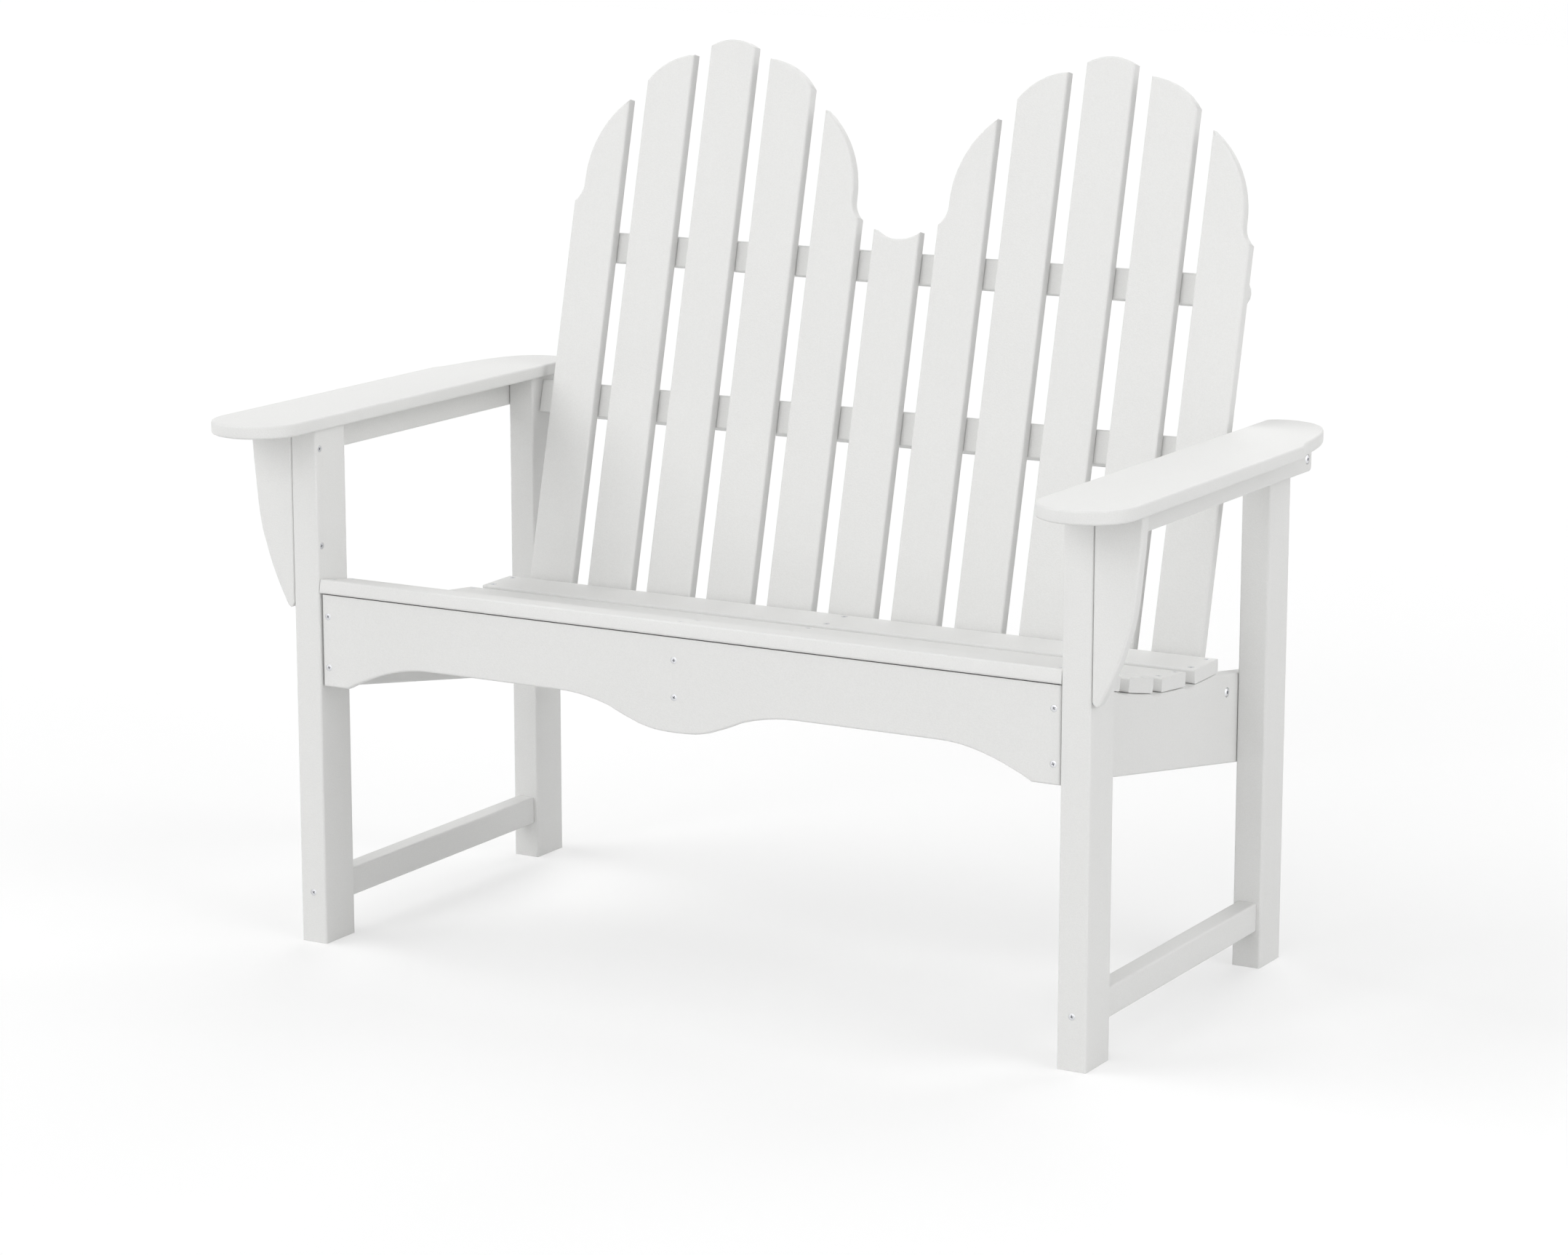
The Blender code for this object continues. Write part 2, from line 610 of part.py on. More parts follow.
slat_screw_x = SEAT_RAIL_OUTER - SLAT_SCREW_END
SEAT_RAILS = (
    ("left", -(SEAT_RAIL_INNER + SEAT_RAIL_THICK / 2), -slat_screw_x),
    ("centre", 0.0, 0.0),
    ("right", SEAT_RAIL_INNER + SEAT_RAIL_THICK / 2, slat_screw_x),
)
upper = []
reach = HALF_SLAT - EDGE_ROUND
for (middle, along, normal), sag_share in zip(seat_places, SEAT_SAG_SHARES):
    sag = sag_share * SEAT_SAG
    under = middle - normal * (SEAT_SLAT_THICK + GAP)
    if upper:
        before = upper[-1]
        across_gap = under - along * reach - before
        for share in SEAT_DIP_SHARES:
            upper.append(before + across_gap * share - Vector((0.0, SEAT_DIP)))
    upper.append(under - along * reach)
    if sag_share > 0.0:
        upper.append(under - along * reach / 2 - normal * sag * 3 / 4)
        upper.append(under - normal * sag)
        upper.append(under + along * reach / 2 - normal * sag * 3 / 4)
    upper.append(under + along * reach)

first_step = upper[1] - upper[0]
front_height = upper[0].y + (RAIL_FRONT - upper[0].x) * first_step.y / first_step.x
upper = [point for point in upper if point.x > RAIL_FRONT + GAP]
upper = [Vector((RAIL_FRONT, front_height))] + upper
step = upper[-1] + Vector((RAIL_STEP_BACK, -RAIL_STEP_DOWN))
high_rear = SEAT_HEIGHT - SEAT_RAIL_TOP_DROP
lower_slope = (SEAT_RAIL_FRONT_DROP - SEAT_RAIL_REAR_DROP) / FRAME_DEPTH


def rail_lower(y):
    return SEAT_HEIGHT - SEAT_RAIL_FRONT_DROP + lower_slope * y


def rail_upper(y):
    """The height of the side rails' upper edge, along its straight parts."""
    edge = upper + [step, Vector((FRAME_DEPTH, high_rear))]
    for start, end in zip(edge, edge[1:]):
        if y <= end.x:
            return start.y + (y - start.x) * (end.y - start.y) / (end.x - start.x)
    return high_rear


for word, across, screw_x in SEAT_RAILS:
    if word == "centre":
        # This rail stops square against the middle back slat.
        slope = math.tan(LEAN)
        stop = BACK_FOOT_Y - GAP / math.cos(LEAN) - BACK_FOOT_Z * slope
        raised = rail_lower(0.0) + CENTRE_RAIL_RISE
        low_y = (stop + raised * slope) / (1.0 - lower_slope * slope)
        last = upper[-1]
        outline = [
            (RAIL_FRONT, raised + lower_slope * RAIL_FRONT),
            (low_y, raised + lower_slope * low_y), (stop + last.y * slope, last.y),
        ]
        points = upper[:-1]
    else:
        outline = [
            (RAIL_FRONT, rail_lower(RAIL_FRONT)), (FRAME_DEPTH, rail_lower(FRAME_DEPTH)),
            (FRAME_DEPTH, high_rear), (step.x, step.y),
        ]
        points = upper
    outline += [(point.x, point.y) for point in reversed(points)]
    outline_board(
        "seat_rail_" + word, outline, SEAT_RAIL_THICK, at(across, 0.0, 0.0), SIDEWAYS
    )

# The seat slats, each with two rows of screws

for index, (middle, along, normal) in enumerate(seat_places):
    node = "seat_slat_" + str(index + 1)
    tilt = math.radians(SEAT_TILTS_DEGREES[index])
    centre = middle - normal * SEAT_SLAT_THICK / 2
    box_board(
        node, (SEAT_RAIL_OUTER * 2, SLAT_WIDTH, SEAT_SLAT_THICK), 0,
        at(0.0, centre.x, centre.y), (tilt, 0.0, 0.0),
    )
    first_inset = FRONT_SCREW_INSET if index == 0 else SLAT_SCREW_INSET
    rows = (
        (first_inset - HALF_SLAT, index == 0), (HALF_SLAT - SLAT_SCREW_INSET, False)
    )
    for shift, in_apron in rows:
        spot = middle + along * shift
        for word, across, screw_x in SEAT_RAILS:
            screw(
                None, at(screw_x, spot.x, spot.y), Vector((0.0, normal.x, normal.y)),
                SEAT_SLAT_THICK + (BOARD_BITE if in_apron else SEAT_BITE),
                [node, "front_apron" if in_apron else "seat_rail_" + word],
            )

# The screws that hold the seat rails to the apron and the legs

apron_screw_x = apron_half - APRON_SCREW_INSET
for word, side in SIDES:
    for count, up in enumerate(APRON_SIDE_SHARES):
        screw(
            "apron_screw_" + word + "_" + str(count + 1),
            at(side * apron_screw_x, APRON_FRONT, apron_low + up * APRON_HEIGHT),
            FORWARD, BOARD_THICK + DEEP_BITE, ["front_apron", "seat_rail_" + word],
        )
    # The front ones lie clear of the apron's screws, the back ones in the legs' middles.
    front_y = RAIL_FRONT + DEEP_BITE + SCREW_HEAD_RADIUS
    for end, y in (("front", front_y), ("back", FRAME_DEPTH - LEG_DEPTH / 2)):
        for up in RAIL_SCREW_SHARES:
            height = rail_lower(y) + up * (rail_upper(y) - rail_lower(y))
            screw(
                None, at(side * SEAT_RAIL_INNER, y, height), Vector((-side, 0.0, 0.0)),
                SEAT_RAIL_THICK + DEEP_BITE,
                ["seat_rail_" + word, "leg_" + end + "_" + word],
            )
for count, up in enumerate(APRON_MIDDLE_SHARES):
    screw(
        "apron_screw_centre_" + str(count + 1),
        at(0.0, APRON_FRONT, apron_low + up * APRON_HEIGHT),
        FORWARD, BOARD_THICK + DEEP_BITE, ["front_apron", "seat_rail_centre"],
    )

# The back slats: five outlines, of which two are also used mirrored

foot = [(-HALF_SLAT, BACK_SLAT_LOW), (HALF_SLAT, BACK_SLAT_LOW)]
notch = NOTCH_INSET - HALF_SLAT
saddle_edge_up = UPPER_RAIL_UP + UPPER_RAIL_HEIGHT / 2 + SADDLE_ABOVE
outer_form = foot + arc_between(
    (HALF_SLAT, OUTER_HIGH_UP), (notch, NOTCH_UP + NOTCH_STRAIGHT), OUTER_RADIUS, 12
)
outer_form += arc_between(
    (notch, NOTCH_UP), (-HALF_SLAT, FLARE_EDGE_UP), FLARE_RADIUS, 6, hollow=True
)
inner_form = foot + arc_between(
    (HALF_SLAT, INNER_HIGH_UP), (-HALF_SLAT, INNER_LOW_UP), INNER_RADIUS, 8
)
crown_form = foot + arc_between(
    (HALF_SLAT, CROWN_EDGE_UP), (-HALF_SLAT, CROWN_EDGE_UP), CROWN_RADIUS, 10
)
saddle_form = foot + arc_between(
    (HALF_SLAT, saddle_edge_up), (-HALF_SLAT, saddle_edge_up), SADDLE_RADIUS, 10,
    hollow=True,
)
one_back = (
    outer_form, inner_form, crown_form, mirrored(inner_form), mirrored(outer_form)
)
forms = one_back + (saddle_form,) + one_back
middle_slat = len(one_back)
pitch = (SEAT_RAIL_INNER - BACK_SIDE_GAP - HALF_SLAT) / middle_slat
outer_slats_edge = SEAT_RAIL_INNER - BACK_SIDE_GAP
lean_turn = (math.pi / 2 - LEAN, 0.0, 0.0)
backward = Vector((0.0, math.cos(LEAN), -math.sin(LEAN)))
lowest = BACK_SLAT_LOW + EDGE_ROUND / 2


def slat_end(start, end):
    return start.y < lowest and end.y < lowest


for index, form in enumerate(forms):
    across = (index - middle_slat) * pitch
    node = "back_slat_{:02d}".format(index + 1)
    outline_board(
        node, form, BOARD_THICK, on_back(across, 0.0, BOARD_THICK / 2), lean_turn,
        slat_end,
    )
    screw(
        None,
        on_back(across, UPPER_RAIL_UP, RAIL_BEHIND + BOARD_THICK), backward,
        BOARD_THICK + BOARD_BITE, [node, "back_rail_upper"],
    )
    screw(
        None,
        on_back(across, MIDDLE_RAIL_UP, RAIL_BEHIND + MIDDLE_RAIL_DEPTH), backward,
        MIDDLE_RAIL_DEPTH + BOARD_BITE, [node, "back_rail_middle"],
        sunk=MIDDLE_RAIL_DEPTH - RAIL_WEB,
    )
    # The lowest screw of the middle slat goes on into the centre seat rail.
    entered = [node, "back_rail_lower"]
    bite = BOARD_BITE
    if index == middle_slat:
        entered.append("seat_rail_centre")
        bite = BOARD_THICK + LONG_BITE
    screw(
        None,
        on_back(across, LOWER_RAIL_UP, RAIL_BEHIND + LOWER_RAIL_DEPTH), backward,
        LOWER_RAIL_DEPTH + bite, entered, sunk=LOWER_RAIL_DEPTH - RAIL_WEB,
    )

# The three rails behind the back slats

end_round = UPPER_RAIL_HEIGHT / 2
straight = outer_slats_edge - UPPER_RAIL_INSET - end_round
stadium = arc(straight, 0.0, end_round, -90.0, 90.0, 10)
stadium += arc(-straight, 0.0, end_round, 90.0, 270.0, 10)
outline_board(
    "back_rail_upper", stadium, BOARD_THICK,
    on_back(0.0, UPPER_RAIL_UP, RAIL_BEHIND + BOARD_THICK / 2), lean_turn,
)
box_board(
    "back_rail_middle",
    (SEAT_RAIL_OUTER * 2, MIDDLE_RAIL_HEIGHT, MIDDLE_RAIL_DEPTH), 0,
    on_back(0.0, MIDDLE_RAIL_UP, RAIL_BEHIND + MIDDLE_RAIL_DEPTH / 2), lean_turn,
)
box_board(
    "back_rail_lower",
    ((SEAT_RAIL_INNER - GAP) * 2, LOWER_RAIL_HEIGHT, LOWER_RAIL_DEPTH), 0,
    on_back(0.0, LOWER_RAIL_UP, RAIL_BEHIND + LOWER_RAIL_DEPTH / 2), lean_turn,
)
arm_bolt_height = ARM_UNDERSIDE - ARM_BOLT_SHARE * UNDER_RAIL_HEIGHT
for word, side in SIDES:
    bolt(
        "arm_bolt_" + word,
        at(side * under_outer, FRAME_DEPTH - ARM_BOLT_SETBACK, arm_bolt_height),
        Vector((side, 0.0, 0.0)), under_outer - LEG_INNER + BOLT_BITE,
        ["under_arm_rail_" + word, "leg_back_" + word, "back_rail_middle"],
    )
    bolt(
        "seat_bolt_" + word,
        on_back(
            side * SEAT_RAIL_OUTER, LOWER_RAIL_UP, RAIL_BEHIND + LOWER_RAIL_DEPTH / 2
        ),
        Vector((side, 0.0, 0.0)), SEAT_RAIL_THICK + BOLT_BITE,
        ["seat_rail_" + word, "back_rail_lower"],
    )

# The fasteners' holes, cut from the boards

for target, members in holes.items():
    shape = bmesh.new()
    for stations, sides, place in members:
        add_turned(shape, stations, sides, place)
    cut_with(target, "holes", shape, (0.0, 0.0, 0.0), (0.0, 0.0, 0.0))

print("depth", round(REAR_REACH + ARM_FRONT_OVERHANG, 4), "m")
print("lean", round(math.degrees(LEAN), 3), "middle", round(MIDDLE_Y, 5))
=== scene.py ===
import math

import bmesh
import bpy
from mathutils import Euler, Matrix, Vector


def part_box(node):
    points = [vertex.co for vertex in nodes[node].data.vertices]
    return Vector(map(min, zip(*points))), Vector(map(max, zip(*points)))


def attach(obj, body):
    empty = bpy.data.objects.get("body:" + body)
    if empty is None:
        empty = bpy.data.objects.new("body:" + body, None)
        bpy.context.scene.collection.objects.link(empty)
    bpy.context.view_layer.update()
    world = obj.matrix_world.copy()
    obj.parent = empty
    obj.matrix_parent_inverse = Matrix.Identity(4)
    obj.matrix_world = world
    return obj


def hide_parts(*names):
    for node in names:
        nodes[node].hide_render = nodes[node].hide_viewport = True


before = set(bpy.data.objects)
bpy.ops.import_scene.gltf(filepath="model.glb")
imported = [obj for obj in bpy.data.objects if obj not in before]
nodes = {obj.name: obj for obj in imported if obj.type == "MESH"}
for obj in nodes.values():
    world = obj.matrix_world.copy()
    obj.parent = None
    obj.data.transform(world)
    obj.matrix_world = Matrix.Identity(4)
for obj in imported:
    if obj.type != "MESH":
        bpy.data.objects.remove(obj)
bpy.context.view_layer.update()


# The four legs and the stretcher low between each front and back leg.
# Solid bars of white plastic lumber, sawn square at their ends and rounded along
# their edges, with the fine streaks and grain that moulding leaves along the bar.

class Tone:
    """A number that varies over a surface. Sums on it add Math nodes to its recipe."""

    def __init__(self, recipe, socket):
        self.recipe = recipe
        self.socket = socket

    def maths(self, operation, first, second):
        return self.recipe.node(
            "ShaderNodeMath", {"operation": operation}, {0: first, 1: second}
        )

    def __add__(self, other):
        return self.maths("ADD", self, other)

    def __radd__(self, other):
        return self.maths("ADD", other, self)

    def __sub__(self, other):
        return self.maths("SUBTRACT", self, other)

    def __rsub__(self, other):
        return self.maths("SUBTRACT", other, self)

    def __mul__(self, other):
        return self.maths("MULTIPLY", self, other)

    def __rmul__(self, other):
        return self.maths("MULTIPLY", other, self)


class Recipe:
    """The nodes that make up one finish, or the light that surrounds the bench."""

    def __init__(self, tree):
        self.tree = tree

    def plug(self, socket, value):
        """Links a tone to a socket, or sets a plain value on it."""
        if isinstance(value, Tone):
            self.tree.links.new(value.socket, socket)
        else:
            socket.default_value = value

    def node(self, kind, settings, plugs, out=0):
        """Adds a node, settings before sockets, and gives one of its outputs."""
        made = self.tree.nodes.new(kind)
        for word, value in settings.items():
            setattr(made, word, value)
        for name, value in plugs.items():
            self.plug(made.inputs[name], value)
        return Tone(self, made.outputs[out])

    def noise(self, spot, scale, detail):
        return self.node(
            "ShaderNodeTexNoise", {}, {"Vector": spot, "Scale": scale, "Detail": detail}
        )

    def between(self, share, first, second):
        """A colour that lies this share of the way from the first to the second."""
        return self.node(
            "ShaderNodeMix", {"data_type": "RGBA"}, {0: share, 6: first, 7: second}, 2
        )

    def relief(self, strength, depth, height):
        return self.node(
            "ShaderNodeBump", {},
            {"Strength": strength, "Distance": depth, "Height": height},
        )


class Finish(Recipe):
    """One material, made by the nodes of its recipe."""

    def __init__(self, name):
        self.material = bpy.data.materials.new(name)
        self.material.use_nodes = True
        super().__init__(self.material.node_tree)
        self.shader = self.tree.nodes["Principled BSDF"]

    def feed(self, word, value):
        """Gives a tone or a plain value to one of the shader's own sockets."""
        self.plug(self.shader.inputs[word], value)


LUMBER_PALE = (0.774, 0.774, 0.765, 1.0)
LUMBER_DULL = (0.711, 0.711, 0.700, 1.0)

# How many streaks, grains and cloudy patches there are to a metre, along and across.
STREAKS = (4.0, 190.0, 190.0)
GRAINS = 700.0
PATCHES = 9.0

# The share of each in the colour, and how strongly the colour swings with their sum.
STREAK_TINT = 0.06
GRAIN_TINT = 0.80
PATCH_TINT = 0.14
TINT_SWING = 1.6
TINT_OFFSET = 0.3

# The stipple, in which the grain stands out most, and the sheen, dullest on the grain.
STIPPLE_STRENGTH = 0.50
STIPPLE_DEPTH = 0.0006
STREAK_RELIEF = 0.15
GRAIN_RELIEF = 0.85
LUMBER_SMOOTHEST = 0.46
LUMBER_ROUGHER = 0.16

# The turns that lay a board's length along the pattern's X.
ALONG_X = (0.0, 0.0, 0.0)
ALONG_Y = (0.0, 0.0, -math.pi / 2)
ALONG_Z = (0.0, math.pi / 2, 0.0)


def lumber_finish(name, turn):
    """White plastic lumber, streaked along the board and stippled all over."""
    finish = Finish(name)
    spot = finish.node("ShaderNodeTexCoord", {}, {}, "Object")
    board = finish.node("ShaderNodeMapping", {}, {"Vector": spot, "Rotation": turn})
    drawn = finish.node(
        "ShaderNodeVectorMath", {"operation": "MULTIPLY"}, {0: board, 1: STREAKS}
    )
    streaks = finish.noise(drawn, scale=1.0, detail=3.0)
    grain = finish.noise(board, scale=GRAINS, detail=2.0)
    patches = finish.noise(board, scale=PATCHES, detail=2.0)
    mottle = STREAK_TINT * streaks + GRAIN_TINT * grain + PATCH_TINT * patches
    swing = TINT_SWING * mottle - TINT_OFFSET
    stipple = STREAK_RELIEF * streaks + GRAIN_RELIEF * grain
    finish.feed("Base Color", finish.between(swing, LUMBER_DULL, LUMBER_PALE))
    finish.feed("Roughness", LUMBER_SMOOTHEST + LUMBER_ROUGHER * grain)
    finish.feed("Normal", finish.relief(STIPPLE_STRENGTH, STIPPLE_DEPTH, stipple))
    return finish


# Points this close are one, and faces this nearly level with each other are one.
SAME_POINT = 0.00001
SAME_FACE = math.radians(0.3)

# An edge turns sharp at a sawn end, and at a short mitre where two roundings meet.
SAWN_TURN = math.radians(50.0)
MITRE_TURN = math.radians(24.0)
MITRE_LENGTH = 0.0045


def dress_board(node, finish):
    """A board in its CAD solid's shape, its flat faces whole, its rounding smooth."""
    shape = bmesh.new()
    shape.from_mesh(nodes[node].data)
    bmesh.ops.remove_doubles(shape, verts=shape.verts, dist=SAME_POINT)
    bmesh.ops.dissolve_limit(
        shape, angle_limit=SAME_FACE, verts=shape.verts, edges=shape.edges
    )
    for edge in shape.edges:
        turn = edge.calc_face_angle(0.0)
        mitre = turn > MITRE_TURN and edge.calc_length() < MITRE_LENGTH
        edge.smooth = turn < SAWN_TURN and not mitre
    for face in shape.faces:
        face.smooth = True
    mesh = bpy.data.meshes.new(node + "_board")
    shape.to_mesh(mesh)
    shape.free()
    mesh.materials.clear()
    mesh.materials.append(finish.material)
    board = bpy.data.objects.new(node + "_board", mesh)
    bpy.context.scene.collection.objects.link(board)
    shading = board.modifiers.new("shading", "WEIGHTED_NORMAL")
    shading.keep_sharp = True
    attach(board, "root")
    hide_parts(node)


upright_lumber = lumber_finish("upright_lumber", ALONG_Z)
crosswise_lumber = lumber_finish("crosswise_lumber", ALONG_Y)
for side in ("left", "right"):
    dress_board("leg_front_" + side, upright_lumber)
    dress_board("leg_back_" + side, upright_lumber)
    dress_board("stretcher_" + side, crosswise_lumber)


# The arms, the rail under each arm and the bracket in front of it.
# Broad boards with a round front and a drawn-in rear corner, screwed to a rail on the
# outer side of the legs. A curved bracket below each arm's front is set on the leg.

for side in ("left", "right"):
    dress_board("arm_" + side, crosswise_lumber)
    dress_board("under_arm_rail_" + side, crosswise_lumber)
    dress_board("arm_bracket_" + side, upright_lumber)


# The apron across the front, below the first seat slat.
# One wide board between the front legs, with two low arches sawn in its lower edge.

lengthwise_lumber = lumber_finish("lengthwise_lumber", ALONG_X)
dress_board("front_apron", lengthwise_lumber)


# The seat: three rails from front to back and the five slats across them.
# The rails' upper edges are sawn so that each slat lies at a slope of its own, which
# gives a hollow seat, and they dip a little in each open gap between two slats.

for side in ("left", "centre", "right"):
    dress_board("seat_rail_" + side, crosswise_lumber)
for count in range(1, 6):
    dress_board("seat_slat_" + str(count), lengthwise_lumber)


# The back: eleven upright slats in two arched groups, and three rails behind them.
# The slats' tops are sawn to two round crowns with a low slat in the middle, and the
# whole back leans.

LEAN = math.radians(13.7135)

leaning_lumber = lumber_finish("leaning_lumber", (LEAN, math.pi / 2, 0.0))
for count in range(1, 12):
    dress_board("back_slat_{:02d}".format(count), leaning_lumber)
for height in ("upper", "middle", "lower"):
    dress_board("back_rail_" + height, lengthwise_lumber)


# The screws, flush countersunk ones of stainless steel with a cross recess.
# They hold the slats to their rails, the rails to the legs and the apron, and the
# brackets and stretchers to the legs. Each lies just below the board's surface.

SCREW_HEAD = 0.0042
SCREW_HEAD_HEIGHT = 0.0021
SCREW_SHANK = 0.0021
SCREW_SHANK_LENGTH = 0.0120
SCREW_SIDES = 24
SCREW_SET = 0.0002
RIM_ROUND = 0.0003
RECESS_LONG = 0.0021
RECESS_WIDE = 0.0005
RECESS_DEEP = 0.0016
RECESS_TAPER = 0.45

# The steel's fine clouds to a metre, how far they dull it, its relief and its sheen.
STEEL_CLOUDS = 700.0
STEEL_DULL = 0.9
STEEL_RELIEF_STRENGTH = 0.15
STEEL_RELIEF_DEPTH = 0.0002
STEEL_SMOOTHEST = 0.44
STEEL_ROUGHER = 0.12


def steel_finish(name, colour):
    """Stainless steel, a little uneven from passivating and handling."""
    finish = Finish(name)
    spot = finish.node("ShaderNodeTexCoord", {}, {}, "Object")
    cloud = finish.noise(spot, scale=STEEL_CLOUDS, detail=3.0)
    dull = [STEEL_DULL * part for part in colour[:3]] + [1.0]
    relief = finish.relief(STEEL_RELIEF_STRENGTH, STEEL_RELIEF_DEPTH, cloud)
    finish.feed("Base Color", finish.between(cloud, dull, colour))
    finish.feed("Roughness", STEEL_SMOOTHEST + STEEL_ROUGHER * cloud)
    finish.feed("Normal", relief)
    finish.feed("Metallic", 1.0)
    return finish


def cut_from(mesh, tool):
    """The first mesh with the second one cut out of it."""
    block = bpy.data.objects.new("block", mesh)
    cutter = bpy.data.objects.new("cutter", tool)
    bpy.context.scene.collection.objects.link(block)
    bpy.context.scene.collection.objects.link(cutter)
    cut = block.modifiers.new("cut", "BOOLEAN")
    cut.operation = "DIFFERENCE"
    cut.solver = "EXACT"
    cut.object = cutter
    bpy.context.view_layer.update()
    seen = block.evaluated_get(bpy.context.evaluated_depsgraph_get())
    made = bpy.data.meshes.new_from_object(seen)
    bpy.data.objects.remove(block)
    bpy.data.objects.remove(cutter)
    return made


# How far below a head's top its recess starts and ends, for the darker steel that
# paints shade into it.
PAINTED_SHADE_FROM = 0.00005
PAINTED_SHADE_TO = 0.0019


def paint_shade_inside(mesh, reach):
    """Gives the walls and floor of a head's recess the second finish, a darker steel
    that is painted shade.
    """
    for face in mesh.polygons:
        inside = math.hypot(face.center.x, face.center.y) < reach
        sunk = -PAINTED_SHADE_TO < face.center.z < -PAINTED_SHADE_FROM
        face.material_index = 1 if inside and sunk else 0
    return mesh


def make_screw():
    """One screw with its head's face at the origin, pointing down along Z."""
    shape = bmesh.new()
    bmesh.ops.create_cone(
        shape, cap_ends=True, segments=SCREW_SIDES,
        radius1=SCREW_SHANK, radius2=SCREW_HEAD, depth=SCREW_HEAD_HEIGHT,
        matrix=Matrix.Translation((0.0, 0.0, -SCREW_HEAD_HEIGHT / 2)),
    )
    neck = min(shape.faces, key=lambda face: face.calc_center_median().z)
    grown = bmesh.ops.extrude_face_region(shape, geom=[neck])["geom"]
    ring = [item for item in grown if isinstance(item, bmesh.types.BMVert)]
    bmesh.ops.delete(shape, geom=[neck], context="FACES_ONLY")
    bmesh.ops.translate(
        shape, vec=Vector((0.0, 0.0, -SCREW_SHANK_LENGTH)), verts=ring
    )
    rim = [
        edge for edge in shape.edges
        if all(abs(vert.co.z) < SAME_POINT for vert in edge.verts)
    ]
    bmesh.ops.bevel(
        shape, geom=rim, offset=RIM_ROUND, segments=2, profile=0.5,
        affect="EDGES", material=-1,
    )
    mesh = bpy.data.meshes.new("screw")
    shape.to_mesh(mesh)
    shape.free()

    # The recess tapers inwards from a cross: a grid of nine squares without its four
    # corners, with its outer lines at the cross's ends and its inner ones at the sides.
    halfway = 0.5
    shape = bmesh.new()
    bmesh.ops.create_grid(shape, x_segments=3, y_segments=3, size=1.0)
    corners = [
        face for face in shape.faces
        if min(abs(part) for part in face.calc_center_median()[:2]) > halfway
    ]
    bmesh.ops.delete(shape, geom=corners, context="FACES")
    for vert in shape.verts:
        reach = [
            RECESS_LONG if abs(part) > halfway else RECESS_WIDE for part in vert.co[:2]
        ]
        vert.co.x = math.copysign(reach[0], vert.co.x)
        vert.co.y = math.copysign(reach[1], vert.co.y)
        vert.co.z = SCREW_SET
    cross = list(shape.faces)
    grown = bmesh.ops.extrude_face_region(shape, geom=cross)["geom"]
    bottom = [item for item in grown if isinstance(item, bmesh.types.BMVert)]
    bmesh.ops.translate(
        shape, vec=Vector((0.0, 0.0, -RECESS_DEEP - SCREW_SET)), verts=bottom
    )
    bmesh.ops.scale(
        shape, vec=Vector((RECESS_TAPER, RECESS_TAPER, 1.0)), verts=bottom
    )
    bmesh.ops.recalc_face_normals(shape, faces=shape.faces)
    tool = bpy.data.meshes.new("cross")
    shape.to_mesh(tool)
    shape.free()
    return paint_shade_inside(cut_from(mesh, tool), RECESS_LONG)


# Each head in a group is turned a little further than the one before, in degrees.
FIRST_TURN = 40.0
NEXT_TURN = 67.0
SHARP_TURN = math.radians(35.0)


def set_fasteners(name, fastener, places, finish):
    """Copies of one fastener, each with its face at a point and turned outwards."""
    together = bmesh.new()
    for count, (point, outward) in enumerate(places):
        known = len(together.verts)
        together.from_mesh(fastener)
        together.verts.ensure_lookup_table()
        place = (
            Matrix.Translation(Vector(point))
            @ Vector(outward).to_track_quat("Z", "Y").to_matrix().to_4x4()
            @ Matrix.Rotation(math.radians(FIRST_TURN + NEXT_TURN * count), 4, "Z")
        )
        bmesh.ops.transform(together, matrix=place, verts=together.verts[known:])
    mesh = bpy.data.meshes.new(name)
    together.to_mesh(mesh)
    together.free()
    mesh.materials.append(finish.material)
    # The second material is painted shade inside each head's recess.
    mesh.materials.append(painted_shade_steel.material)
    mesh.shade_smooth()
    mesh.set_sharp_from_angle(angle=SHARP_TURN)
    made = bpy.data.objects.new(name, mesh)
    bpy.context.scene.collection.objects.link(made)
    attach(made, "root")
    return made


def head_places(names, outward):
    """Where the heads of these screws or bolts lie, from their CAD solids."""
    places = []
    outward = Vector(outward)
    for name in names:
        low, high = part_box(name)
        middle = (low + high) / 2
        half = (high - low) / 2
        reach = sum(abs(outward[axis]) * half[axis] for axis in range(3))
        places.append((middle + outward * reach, outward))
    return places


pale_steel = steel_finish("pale_steel", (0.66, 0.665, 0.685, 1.0))
# A darker copy of the steel, painted shade for the inside of the heads' recesses.
painted_shade_steel = steel_finish("painted_shade_steel", (0.44, 0.45, 0.475, 1.0))
screw = make_screw()

# Those that have solids of their own in the CAD, with the way that their heads face.
SCREW_GROUPS = (
    ("apron_screws", (0.0, -1.0, 0.0), [
        "apron_screw_left_1", "apron_screw_left_2", "apron_screw_centre_1",
        "apron_screw_centre_2", "apron_screw_right_1", "apron_screw_right_2",
    ]),
    ("front_stretcher_screws", (0.0, -1.0, 0.0), [
        "stretcher_screw_front_left", "stretcher_screw_front_right",
    ]),
    ("back_stretcher_screws", (0.0, 1.0, 0.0), [
        "stretcher_screw_back_left", "stretcher_screw_back_right",
    ]),
    ("left_bracket_screws", (1.0, 0.0, 0.0), [
        "bracket_screw_left_1", "bracket_screw_left_2",
    ]),
    ("right_bracket_screws", (-1.0, 0.0, 0.0), [
        "bracket_screw_right_1", "bracket_screw_right_2",
    ]),
    ("arm_screws", (0.0, 0.0, -1.0), [
        "arm_screw_left_1", "arm_screw_left_2",
        "arm_screw_right_1", "arm_screw_right_2",
    ]),
)
for name, outward, stood_for in SCREW_GROUPS:
    placed = set_fasteners(name, screw, head_places(stood_for, outward), pale_steel)
    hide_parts(*stood_for)

